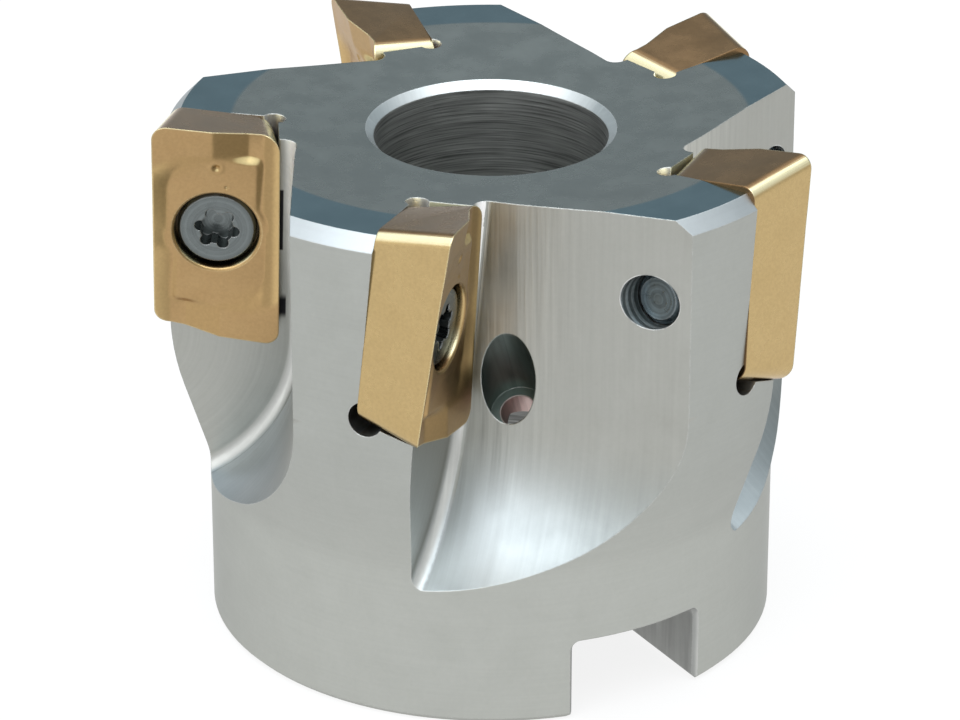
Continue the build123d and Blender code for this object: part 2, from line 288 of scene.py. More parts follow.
def make_pressed_face():
    """A block whose top is the pressed rake face, drawn past the insert's outline."""
    xs = [i * GRID_STEP for i in range(-GRID_REACH_ACROSS, GRID_REACH_ACROSS + 1)]
    ys = [j * GRID_STEP for j in range(-GRID_REACH_ALONG, GRID_REACH_ALONG + 1)]
    level = np.array([[rake_height(x, y) for x in xs] for y in ys])
    for _ in range(SMOOTHING_PASSES):
        level = smoothed(level)
    for mark in PRESSED_MARKS:
        level = press_mark(level, xs, ys, mark)
    wide, tall = len(xs), len(ys)
    points = [(x, y, level[j][i]) for j, y in enumerate(ys) for i, x in enumerate(xs)]
    faces = [
        (j * wide + i, j * wide + i + 1, (j + 1) * wide + i + 1, (j + 1) * wide + i)
        for j in range(tall - 1)
        for i in range(wide - 1)
    ]
    rim = list(range(wide))
    rim += [j * wide + wide - 1 for j in range(1, tall)]
    rim += [(tall - 1) * wide + i for i in range(wide - 2, -1, -1)]
    rim += [j * wide for j in range(tall - 2, 0, -1)]
    base = len(points)
    points += [(points[i][0], points[i][1], -OVERRUN) for i in rim]
    count = len(rim)
    faces += [(rim[k], base + k, base + (k + 1) % count, rim[(k + 1) % count]) for k in range(count)]
    faces.append(tuple(base + k for k in reversed(range(count))))
    return solid_from("pressed_face", points, faces)


def make_blank():
    """The insert's outline drawn up from the seat, wider with height."""
    low, high = insert_outline(0.0), insert_outline(INSERT_NOSE_HEIGHT + OVERRUN)
    count = len(low)
    faces = [(k, count + k, count + (k + 1) % count, (k + 1) % count) for k in range(count)]
    faces += [tuple(range(count)), tuple(2 * count - 1 - k for k in range(count))]
    return solid_from("insert_blank", low + high, faces)


def make_hole():
    """Clearance hole, cone and recess as one turned form with a rounded lip."""
    cone_foot = RECESS_FLOOR - (CONE_TOP_RADIUS - HOLE_RADIUS) / math.tan(CONE_HALF_ANGLE)
    lip_foot = PLATEAU_HEIGHT - RECESS_LIP
    section = [
        (HOLE_RADIUS, -OVERRUN),
        (HOLE_RADIUS, cone_foot),
        (CONE_TOP_RADIUS, RECESS_FLOOR),
        (RECESS_RADIUS, RECESS_FLOOR),
        (RECESS_RADIUS, lip_foot),
    ]
    for step in range(1, LIP_STEPS + 1):
        angle = step * LIP_STEP_ANGLE
        lip_radius = RECESS_RADIUS + RECESS_LIP * (1 - math.cos(angle))
        section.append((lip_radius, lip_foot + RECESS_LIP * math.sin(angle)))
    lip_radius, lip_top = section[-1]
    section.append((lip_radius + LIP_FLARE[0], lip_top + LIP_FLARE[1]))
    section.append((lip_radius + LIP_FLARE[0], INSERT_NOSE_HEIGHT + 2 * OVERRUN))
    count = ROUND_STEPS
    turns = [2 * math.pi * k / count for k in range(count)]
    points = [(r * math.cos(turn), r * math.sin(turn), height) for r, height in section for turn in turns]
    faces = [
        (r * count + k, r * count + (k + 1) % count, (r + 1) * count + (k + 1) % count, (r + 1) * count + k)
        for r in range(len(section) - 1)
        for k in range(count)
    ]
    faces.append(tuple(reversed(range(count))))
    faces.append(tuple((len(section) - 1) * count + k for k in range(count)))
    return solid_from("screw_hole", points, faces)


def cut(piece, tool, operation):
    """Cuts one solid with another and drops the tool."""
    change = piece.modifiers.new("cut", "BOOLEAN")
    change.object, change.operation, change.solver = tool, operation, "EXACT"
    drawn = piece.evaluated_get(bpy.context.evaluated_depsgraph_get())
    mesh = bpy.data.meshes.new_from_object(drawn)
    piece.modifiers.clear()
    piece.data = mesh
    bpy.data.objects.remove(tool)


def make_inserts():
    """One insert, cut from its blank and set into every pocket."""
    insert = make_blank()
    cut(insert, make_pressed_face(), "INTERSECT")
    cut(insert, make_hole(), "DIFFERENCE")
    shape = insert.data
    bpy.data.objects.remove(insert)
    for tooth in range(TEETH):
        turn = Matrix.Rotation(FIRST_TOOTH_ANGLE + tooth * TOOTH_STEP, 4, "Z")
        mesh = shape.copy()
        mesh.transform(turn @ seat_frame)
        mesh.shade_smooth()
        mesh.set_sharp_from_angle(angle=SHARP_ANGLE)
        mesh.materials.clear()
        mesh.materials.append(gold_coating)
        piece = add_to_scene(f"coated_insert_{tooth + 1}", mesh)
        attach(piece, "root")
        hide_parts(f"insert_{tooth + 1}")


# Small helpers for node trees.


def put(tree, kind, wires=None, **settings):
    """Adds one node. A wire is a socket to link or a plain value for that input."""
    node = tree.nodes.new(kind)
    for name, value in settings.items():
        setattr(node, name, value)
    for name, value in (wires or {}).items():
        if isinstance(value, bpy.types.NodeSocket):
            tree.links.new(value, node.inputs[name])
        else:
            node.inputs[name].default_value = value
    return node


def calc(tree, operation, first, second=None, third=None, clamp=False):
    """One sum on numbers that vary over the surface."""
    wires = {i: v for i, v in enumerate((first, second, third)) if v is not None}
    return put(tree, "ShaderNodeMath", wires, operation=operation, use_clamp=clamp).outputs[0]


def vector_calc(tree, operation, *values):
    """One sum on places or directions, some of which may be fixed vectors."""
    wires = {i: v if isinstance(v, bpy.types.NodeSocket) else tuple(v) for i, v in enumerate(values)}
    return put(tree, "ShaderNodeVectorMath", wires, operation=operation).outputs


def scaled(tree, place, factor):
    return put(tree, "ShaderNodeVectorMath", {0: place, "Scale": factor}, operation="SCALE").outputs[0]


def seen_from(tree, place, origin):
    return vector_calc(tree, "SUBTRACT", place, origin)["Vector"]


def reach_along(tree, vector, way):
    """How far a place or a facing reaches along a way."""
    return vector_calc(tree, "DOT_PRODUCT", vector, way)["Value"]


def level_way(tree, vector):
    """The way that a vector points when it is laid level."""
    laid = vector_calc(tree, "MULTIPLY", vector, (1, 1, 0))["Vector"]
    return vector_calc(tree, "NORMALIZE", laid)["Vector"]


def parts_of(tree, vector):
    return put(tree, "ShaderNodeSeparateXYZ", {0: vector}).outputs


def length_of(tree, first, second):
    """Length of the two sides taken together."""
    squares = calc(tree, "ADD", calc(tree, "POWER", first, 2.0), calc(tree, "POWER", second, 2.0))
    return calc(tree, "SQRT", squares)


def ramp(tree, value, low, high, to_low=0.0, to_high=1.0):
    """Turns low..high into to_low..to_high with soft ends."""
    wires = {"Value": value, "From Min": low, "From Max": high, "To Min": to_low, "To Max": to_high}
    node = put(tree, "ShaderNodeMapRange", wires, interpolation_type="SMOOTHSTEP")
    return node.outputs["Result"]


def within(tree, value, limit, soft):
    """Holds up to a limit and fades out over a soft edge past it."""
    return ramp(tree, value, limit + soft, limit)


def times(tree, *masks):
    """Where all the masks hold."""
    held = masks[0]
    for mask in masks[1:]:
        held = calc(tree, "MULTIPLY", held, mask)
    return held


def except_on(tree, mask):
    return calc(tree, "SUBTRACT", 1.0, mask)


def either(tree, share, first, second):
    """Mixes two numbers by a share."""
    return put(tree, "ShaderNodeMix", {0: share, 2: first, 3: second}).outputs[0]


def blend(tree, share, first, second, mode="MIX"):
    """Mixes two colours by a share."""
    node = tree.nodes.new("ShaderNodeMix")
    node.data_type = "RGBA"
    node.blend_type = mode
    for place, value in ((0, share), (6, first), (7, second)):
        if isinstance(value, bpy.types.NodeSocket):
            tree.links.new(value, node.inputs[place])
        else:
            node.inputs[place].default_value = (*value, 1) if place else value
    return node.outputs[2]


def shaded(tree, tone, shade):
    """A tone made lighter or darker by a number about 1."""
    grey = put(tree, "ShaderNodeCombineXYZ", {0: shade, 1: shade, 2: shade}).outputs[0]
    return blend(tree, 1.0, tone, grey, "MULTIPLY")


def noise(tree, place, detail, roughness=0.5):
    wires = {"Vector": place, "Scale": 1.0, "Detail": detail, "Roughness": roughness}
    return put(tree, "ShaderNodeTexNoise", wires).outputs["Fac"]


def effect(name, inputs, outputs):
    """Starts a shader node group with named inputs and outputs."""
    group = bpy.data.node_groups.new(name, "ShaderNodeTree")
    for label, kind, value in inputs:
        socket = group.interface.new_socket(label, in_out="INPUT", socket_type=kind)
        if value is not None:
            socket.default_value = value
    for label, kind in outputs:
        group.interface.new_socket(label, in_out="OUTPUT", socket_type=kind)
    return group, group.nodes.new("NodeGroupInput").outputs, group.nodes.new("NodeGroupOutput")


def use(tree, group, **values):
    """Places an effect in a material. Underscores in the value names stand for spaces."""
    node = tree.nodes.new("ShaderNodeGroup")
    node.node_tree = group
    for name, value in values.items():
        socket = node.inputs[name.replace("_", " ")]
        if isinstance(value, bpy.types.NodeSocket):
            tree.links.new(value, socket)
        else:
            socket.default_value = value
    return node.outputs


# Effects shared by the materials.

NUMBER, PLACE = "NodeSocketFloat", "NodeSocketVector"
NICKS_A_METRE = 2600.0


def make_tooth_frame():
    """Turns a place and its facing into the frame of the tooth that they belong to."""
    group, given, out = effect(
        "tooth_frame",
        [("Place", PLACE, None), ("Facing", PLACE, None), ("First Angle", NUMBER, TOOTH_START)],
        [("Place", PLACE), ("Facing", PLACE)],
    )
    parts = parts_of(group, given["Place"])
    turn = calc(group, "ARCTAN2", parts[1], parts[0])
    first = calc(group, "ADD", given["First Angle"], FIRST_TOOTH_ANGLE)
    tooth = calc(group, "FLOOR", calc(group, "DIVIDE", calc(group, "SUBTRACT", turn, first), TOOTH_STEP))
    back = calc(group, "MULTIPLY_ADD", tooth, -TOOTH_STEP, -FIRST_TOOTH_ANGLE)
    for name in ("Place", "Facing"):
        wires = {"Vector": given[name], "Angle": back}
        turned = put(group, "ShaderNodeVectorRotate", wires, rotation_type="Z_AXIS")
        group.links.new(turned.outputs[0], out.inputs[name])
    return group


def make_round_axis():
    """How far a place lies from the nearest tooth's axis through an origin, and how far along it."""
    group, given, out = effect(
        "round_axis",
        [
            ("Place", PLACE, None),
            ("Origin", PLACE, None),
            ("Direction", PLACE, None),
            ("First Angle", NUMBER, TOOTH_START),
        ],
        [("Apart", NUMBER), ("Along", NUMBER)],
    )
    tooth = use(group, tooth_frame, Place=given["Place"], First_Angle=given["First Angle"])
    from_origin = seen_from(group, tooth["Place"], given["Origin"])
    off_axis = vector_calc(group, "CROSS_PRODUCT", from_origin, given["Direction"])["Vector"]
    group.links.new(vector_calc(group, "LENGTH", off_axis)["Value"], out.inputs["Apart"])
    group.links.new(reach_along(group, from_origin, given["Direction"]), out.inputs["Along"])
    return group


def make_seat_place():
    """How far across and along the insert's seat a place lies, from the middle of the seat."""
    group, given, out = effect(
        "seat_place", [("Tooth Place", PLACE, None)], [("Across", NUMBER), ("Along", NUMBER)]
    )
    from_seat = seen_from(group, given["Tooth Place"], seat_origin)
    group.links.new(reach_along(group, from_seat, seat_across), out.inputs["Across"])
    group.links.new(reach_along(group, from_seat, edge_upward), out.inputs["Along"])
    return group


def make_tool_lines():
    """Fine lines left by a cutting tool: close together across, long along."""
    group, given, out = effect(
        "tool_lines",
        [
            ("Across", NUMBER, 0.0),
            ("Along", NUMBER, 0.0),
            ("Spacing", NUMBER, 0.2 * MM),
            ("Run", NUMBER, 6 * MM),
            ("Seed", NUMBER, 0.0),
        ],
        [("Lines", NUMBER)],
    )
    across = calc(group, "DIVIDE", given["Across"], given["Spacing"])
    along = calc(group, "DIVIDE", given["Along"], given["Run"])
    spot = put(group, "ShaderNodeCombineXYZ", {0: across, 1: along, 2: given["Seed"]}).outputs[0]
    group.links.new(noise(group, spot, 2.0, 0.6), out.inputs["Lines"])
    return group


def make_mottle():
    """Soft cloudy change of tone, about half on average."""
    group, given, out = effect(
        "mottle",
        [("Place", PLACE, None), ("Size", NUMBER, 4 * MM), ("Contrast", NUMBER, 1.0)],
        [("Tone", NUMBER)],
    )
    spot = scaled(group, given["Place"], calc(group, "DIVIDE", 1.0, given["Size"]))
    centred = calc(group, "SUBTRACT", noise(group, spot, 3.0, 0.62), 0.5)
    tone = calc(group, "MULTIPLY_ADD", centred, given["Contrast"], 0.5, clamp=True)
    group.links.new(tone, out.inputs["Tone"])
    return group


def make_edge_wear_and_sheen():
    """Finds the sharp edges of a piece, broken up a little, and rounds the light over them; the materials
    lighten these edges as wear and painted highlight.
    """
    group, given, out = effect(
        "edge_wear_and_sheen",
        [("Place", PLACE, None), ("Width", NUMBER, 0.15 * MM), ("Patchiness", NUMBER, 0.4)],
        [("Edge", NUMBER), ("Normal", PLACE)],
    )
    rounded = put(group, "ShaderNodeBevel", {"Radius": given["Width"]}, samples=4).outputs[0]
    flat = put(group, "ShaderNodeNewGeometry").outputs["Normal"]
    sharp = ramp(group, reach_along(group, rounded, flat), 0.985, 0.86)
    nicks = ramp(group, noise(group, scaled(group, given["Place"], NICKS_A_METRE), 2.0), 0.4, 0.65)
    kept = except_on(group, calc(group, "MULTIPLY", nicks, given["Patchiness"]))
    group.links.new(calc(group, "MULTIPLY", sharp, kept), out.inputs["Edge"])
    group.links.new(rounded, out.inputs["Normal"])
    return group


tooth_frame = make_tooth_frame()
round_axis = make_round_axis()
seat_place = make_seat_place()
tool_lines = make_tool_lines()
mottle = make_mottle()
edge_wear_and_sheen = make_edge_wear_and_sheen()


# Materials.

# The upward part of a surface's normal from which it counts as level, and as facing up
FACES_LEVEL = (0.93, 0.99)
FACES_UP = (0.4, 0.6)
RELIEF_DEPTH = 0.02 * MM

def empty_tree(owner):
    """The cleared node tree of a material or of the world."""
    owner.use_nodes = True
    owner.node_tree.nodes.clear()
    return owner.node_tree


def new_metal(name):
    """A metal to dress: the material, its tree, the shader's inputs, the place and how it faces."""
    material = bpy.data.materials.new(name)
    tree = empty_tree(material)
    surface = put(tree, "ShaderNodeBsdfPrincipled")
    surface.inputs["Metallic"].default_value = 1.0
    tree.links.new(surface.outputs[0], put(tree, "ShaderNodeOutputMaterial").inputs[0])
    spots = put(tree, "ShaderNodeTexCoord").outputs
    return material, tree, surface.inputs, spots["Object"], spots["Normal"]


def dress(tree, surface, tone, dull, relief, strength, rounded):
    """Gives the shader its colour, its roughness and its fine relief over the rounded edges."""
    wires = {"Strength": strength, "Distance": RELIEF_DEPTH, "Height": relief, "Normal": rounded}
    tree.links.new(tone, surface["Base Color"])
    tree.links.new(dull, surface["Roughness"])
    tree.links.new(put(tree, "ShaderNodeBump", wires).outputs[0], surface["Normal"])


def place_round(tree, place, origin, direction, first_angle):
    """How far a place lies off a tooth's hole and how far along it, by where the hole starts and points."""
    start = {"Origin": tuple(origin), "Direction": tuple(direction), "First_Angle": first_angle}
    found = use(tree, round_axis, Place=place, **start)
    return found["Apart"], found["Along"]


def place_round_screw(tree, place):
    """How far a place lies off the clamp screw's axis, and how far out of the seat."""
    return place_round(tree, place, seat_origin, seat_normal, SCREW_START)


def thread_turns(tree, depth):
    """Crest and root of the thread, one after the other along the hole."""
    turns = calc(tree, "SINE", calc(tree, "MULTIPLY", depth, 2 * math.pi / THREAD_PITCH))
    return ramp(tree, turns, -0.6, 0.6)


def hole_zones(tree, place):
    """The thread of the clamp screw's hole, and the coolant hole with its feed."""
    off_screw, along_screw = place_round_screw(tree, place)
    thread = times(
        tree,
        within(tree, off_screw, SCREW_EXIT_RADIUS + 0.02 * MM, 0.06 * MM),
        ramp(tree, along_screw, -2 * MM, -2.5 * MM),
    )
    coolant_way = (-math.sin(COOLANT_SLOPE), 0, -math.cos(COOLANT_SLOPE))
    off_coolant, coolant_depth = place_round(tree, place, COOLANT_MOUTH, coolant_way, TOOTH_START)
    coolant = times(
        tree,
        within(tree, off_coolant, COOLANT_RADIUS + 0.01 * MM, 0.04 * MM),
        ramp(tree, coolant_depth, -3 * MM, -2.5 * MM),
    )
    return {
        "thread": thread,
        "turn_of_thread": thread_turns(tree, along_screw),
        "coolant": coolant,
        "coolant_feed": times(
            tree, coolant, within(tree, off_coolant, COOLANT_FEED_RADIUS + 0.05 * MM, 0.05 * MM)
        ),
    }


def seat_zones(tree, tooth_place, off_wall):
    """The painted shadow of clearance gaps beside an insert, and the painted highlight on the relief along
    the seat's inner corner.
    """
    across, along = use(tree, seat_place, Tooth_Place=tooth_place).values()
    gap_shadows = [
        times(
            tree,
            ramp(tree, across, GAP_SHADOW_START, GAP_SHADOW_START + 0.1 * MM),
            within(tree, across, reach - 0.05 * MM, 0.1 * MM),
            within(tree, off_wall, 1 * MM, 0.2 * MM),
            ramp(tree, along, top + soft, top - soft),
            ramp(tree, along, foot - soft, foot + soft),
        )
        for top, foot, reach, soft in PAINTED_GAP_SHADOWS
    ]
    beside = calc(tree, "SUBTRACT", across, SEAT_CORNER)
    above = calc(tree, "ADD", off_wall, WALL_LEVEL - SEAT_RELIEF_LIFT)
    return {
        "gap": calc(tree, "MAXIMUM", *gap_shadows),
        "relief": within(tree, length_of(tree, beside, above), SEAT_RELIEF_RADIUS, 0.1 * MM),
    }


def height_over_floor(tree, outward, height):
    """How far a place lies off the gullet's floor and its run-out, and how far from that round's centre."""
    from_centre = length_of(
        tree,
        calc(tree, "SUBTRACT", outward, FLOOR_DISTANCE + RUNOUT_RADIUS),
        calc(tree, "SUBTRACT", height, RUNOUT_START),
    )
    above_round = calc(tree, "SUBTRACT", RUNOUT_RADIUS, from_centre)
    above_flat = calc(tree, "SUBTRACT", outward, FLOOR_DISTANCE)
    on_flat = calc(tree, "GREATER_THAN", height, RUNOUT_START)
    return either(tree, on_flat, above_round, above_flat), from_centre


def steel_zones(tree, place, facing):
    """Says which tool last cut each surface of the body, and where painted light and shade go, from where
    it lies and how it faces.
    """
    x, y, height = parts_of(tree, place)
    up = parts_of(tree, facing)[2]
    distance = length_of(tree, x, y)
    radial = reach_along(tree, level_way(tree, place), level_way(tree, facing))

    tooth = use(tree, tooth_frame, Place=place, Facing=facing)
    outward, travel, _ = parts_of(tree, tooth["Place"])
    above_floor, from_centre = height_over_floor(tree, outward, height)
    wall_place = sharp_tip.dot(seat_normal) - INSERT_NOSE_HEIGHT + WALL_LEVEL
    off_wall = calc(tree, "SUBTRACT", reach_along(tree, tooth["Place"], seat_normal), wall_place)
    facing_wall = reach_along(tree, tooth["Facing"], seat_normal)

    level = ramp(tree, calc(tree, "ABSOLUTE", up), *FACES_LEVEL)
    in_bore = times(
        tree,
        within(tree, distance, BORE_RADIUS + 0.1 * MM, 0.2 * MM),
        ramp(tree, radial, -0.9, -0.98),
        ramp(tree, up, 0.5, 0.3),
    )
    turned = times(tree, ramp(tree, radial, 0.991, 0.997), except_on(tree, level))
    cut_inside = times(tree, except_on(tree, turned), except_on(tree, level), except_on(tree, in_bore))
    front = times(
        tree,
        ramp(tree, up, *FACES_LEVEL),
        ramp(tree, height, FRONT_FACE_HEIGHT - 1.6 * MM, FRONT_FACE_HEIGHT - 0.9 * MM),
    )
    zones = {
        "height": height,
        "distance": distance,
        "way_round": calc(tree, "MULTIPLY", calc(tree, "ARCTAN2", y, x), distance),
        "travel": travel,
        "from_centre": from_centre,
        "off_wall": off_wall,
        "high": ramp(tree, height, 18 * MM, 30 * MM),
        "far": ramp(tree, off_wall, 3 * MM, 15 * MM),
        "level": level,
        "front": front,
        "ring": times(
            tree, front, ramp(tree, distance, FRONT_RING_RADIUS - 0.2 * MM, FRONT_RING_RADIUS + 0.2 * MM)
        ),
        "in_bore": in_bore,
        "bore_mouth_highlight": times(
            tree,
            cut_inside,
            within(tree, distance, MIDDLE_RADIUS - 1 * MM, 1 * MM),
            ramp(tree, up, *FACES_UP),
        ),
        "turned": turned,
        "bevel_highlight": times(tree, turned, ramp(tree, up, *FACES_UP)),
        "hub": times(tree, turned, ramp(tree, height, HUB_TOP + 8 * MM, HUB_TOP - 4 * MM)),
        "cut_inside": cut_inside,
        "on_wall": times(tree, cut_inside, ramp(tree, facing_wall, 0.8, 0.95)),
        "runout": times(tree, cut_inside, ramp(tree, up, 0.1, 0.6), ramp(tree, up, 0.95, 0.9)),
        "root": times(
            tree,
            cut_inside,
            ramp(tree, distance, MIDDLE_RADIUS, MIDDLE_RADIUS + 1 * MM),
            ramp(tree, calc(tree, "MAXIMUM", above_floor, off_wall), ROOT_FILLET, ROOT_FILLET * 0.4),
        ),
        "slot": times(
            tree,
            within(tree, height, SLOT_DEPTH - 0.1 * MM, 0.2 * MM),
            within(tree, calc(tree, "ABSOLUTE", x), SLOT_HALF_WIDTH + 0.1 * MM, 0.3 * MM),
            except_on(tree, turned),
        ),
        **hole_zones(tree, place),
        **seat_zones(tree, tooth["Place"], off_wall),
    }
    near_front = ramp(tree, height, FRONT_FACE_HEIGHT - 2.2 * MM, FRONT_FACE_HEIGHT - 1.4 * MM)
    zones["relief"] = times(tree, zones["relief"], near_front, except_on(tree, level))
    return zones


def steel_lines(tree, zone):
    """Lines of the lathe round the body and in the bore, and of the mill up the gullets."""

    def drawn(across, along, spacing, run, seed):
        values = {"Spacing": spacing, "Run": run, "Seed": seed}
        return use(tree, tool_lines, Across=zone[across], Along=zone[along], **values)["Lines"]

    lathe = drawn("height", "way_round", 0.22 * MM, 11 * MM, 0.0)
    circles = drawn("distance", "way_round", 0.2 * MM, 8 * MM, 3.0)
    strokes = drawn("travel", "height", 0.4 * MM, 12 * MM, 7.0)
    arcs = drawn("from_centre", "height", 0.3 * MM, 20 * MM, 9.0)
    bored = drawn("height", "way_round", 0.14 * MM, 7 * MM, 5.0)
    milled = either(tree, zone["on_wall"], strokes, arcs)
    lines = either(tree, zone["turned"], milled, lathe)
    lines = either(tree, zone["level"], lines, circles)
    return either(tree, zone["in_bore"], lines, bored)


def make_satin_steel():
    """Tool steel: satin turned outside, ground front face, milled gullets, dull turned bore, with painted
    highlights, reflections and shade in places.
    """
    material, tree, surface, place, facing = new_metal("satin_steel")
    zone = steel_zones(tree, place, facing)
    lines = steel_lines(tree, zone)
    clouds = use(tree, mottle, Place=place, Size=3 * MM, Contrast=1.3)["Tone"]
    grain = use(tree, mottle, Place=place, Size=0.35 * MM, Contrast=1.3)["Tone"]
    wear_and_sheen = use(tree, edge_wear_and_sheen, Place=place, Width=0.13 * MM, Patchiness=0.75)

    def cloudy(dark, light):
        return blend(tree, clouds, dark, light)

    # Painted reflection: the gullet's run-out is lighter and bluer near the root, darker farther off
    runout = blend(tree, zone["far"], (0.515, 0.555, 0.57), (0.275, 0.295, 0.293))
    # Painted highlight along the gullet's root fillet, lighter higher up
    root = blend(tree, zone["high"], (0.56, 0.56, 0.54), (0.95, 0.96, 0.93))
    # Painted highlight on the thread's crests and painted shade in its roots
    lit_thread_crests = blend(tree, grain, (0.5, 0.51, 0.5), (1.0, 1.0, 0.98))
    thread = blend(tree, zone["turn_of_thread"], (0.3, 0.31, 0.3), lit_thread_crests)

    tone = cloudy((0.38, 0.39, 0.365), (0.445, 0.455, 0.43))
    # Hub lighter: partly its own turning, partly painted reflection of the white floor
    tone = blend(tree, zone["hub"], tone, cloudy((0.425, 0.435, 0.405), (0.49, 0.50, 0.47)))
    tone = blend(tree, zone["cut_inside"], tone, cloudy((0.37, 0.372, 0.342), (0.43, 0.433, 0.405)))
    tone = blend(tree, zone["runout"], tone, runout)
    tone = blend(tree, zone["root"], tone, root)
    # Front face and its outer ring blue grey: partly their ground finish, partly painted reflection of the
    # room behind
    tone = blend(tree, zone["front"], tone, cloudy((0.315, 0.332, 0.322), (0.36, 0.382, 0.37)))
    tone = blend(tree, zone["ring"], tone, cloudy((0.20, 0.285, 0.325), (0.23, 0.32, 0.36)))
    tone = blend(tree, zone["in_bore"], tone, (0.34, 0.345, 0.335))
    tone = blend(tree, zone["slot"], tone, (0.32, 0.325, 0.315))
    # Painted highlight: near white at the mouth of the seat relief, close to the front face
    tone = blend(tree, zone["relief"], tone, (0.95, 0.96, 0.97))
    # Painted highlight: chamfers lighter and bluer
    tone = blend(tree, zone["bevel_highlight"], tone, (0.50, 0.53, 0.545))
    # Painted highlight on the chamfer at the bore's mouth
    tone = blend(tree, zone["bore_mouth_highlight"], tone, (0.58, 0.605, 0.61))
    tone = blend(tree, zone["thread"], tone, thread)
    # Painted shade: the coolant hole darker inside; its narrower feed gets a pale pink tone
    tone = blend(tree, zone["coolant"], tone, cloudy((0.19, 0.225, 0.21), (0.26, 0.3, 0.28)))
    tone = blend(tree, zone["coolant_feed"], tone, (0.72, 0.56, 0.53))
    # Painted shadow: near black strips on the wall where clearance gaps beside the insert would show dark
    tone = blend(tree, zone["gap"], tone, (0.02, 0.02, 0.022))

    # The tool marks are plainest towards the gullet's root and in the bore.
    near_root = ramp(tree, zone["off_wall"], 9 * MM, 1 * MM)
    strength = either(tree, zone["cut_inside"], 0.25, calc(tree, "MULTIPLY_ADD", near_root, 3.0, 0.5))
    strength = either(tree, calc(tree, "MAXIMUM", zone["on_wall"], zone["runout"]), strength, 0.8)
    strength = either(tree, zone["in_bore"], strength, 9.0)
    marks = calc(tree, "MULTIPLY", calc(tree, "SUBTRACT", lines, 0.5), strength)
    # Painted light: the gullet floor is made lighter towards the root
    lighter = times(tree, zone["cut_inside"], except_on(tree, zone["on_wall"]), near_root)
    shade = calc(tree, "MULTIPLY_ADD", marks, 0.28, 1.0)
    shade = calc(tree, "MULTIPLY_ADD", lighter, 0.16, shade)
    shade = calc(tree, "MULTIPLY_ADD", calc(tree, "SUBTRACT", grain, 0.5), 0.06, shade)
    tone = shaded(tree, tone, shade)
    specks = ramp(tree, grain, 0.84, 0.92, 0.0, 0.5)
    tone = blend(tree, specks, tone, (0.16, 0.155, 0.145))
    # Sharp edges lighter: wear and painted highlight
    tone = blend(tree, wear_and_sheen["Edge"], tone, (0.6, 0.61, 0.59))

    dull = either(tree, zone["cut_inside"], 0.44, 0.40)
    dull = either(tree, zone["front"], dull, 0.27)
    dull = either(tree, zone["ring"], dull, 0.2)
    dull = either(tree, zone["in_bore"], dull, 0.5)
    dull = either(tree, zone["root"], dull, 0.58)
    dull = calc(tree, "ADD", dull, ramp(tree, clouds, 0.2, 0.8, -0.04, 0.04))
    cut_threads = times(tree, zone["thread"], zone["turn_of_thread"])
    relief = calc(tree, "MULTIPLY", lines, calc(tree, "MINIMUM", strength, 2.0))
    relief = calc(tree, "MULTIPLY_ADD", cut_threads, 3.0, relief)
    surface["Specular Tint"].default_value = (0.72, 0.72, 0.72, 1)
    dress(tree, surface, tone, dull, relief, 0.3, wear_and_sheen["Normal"])
    return material


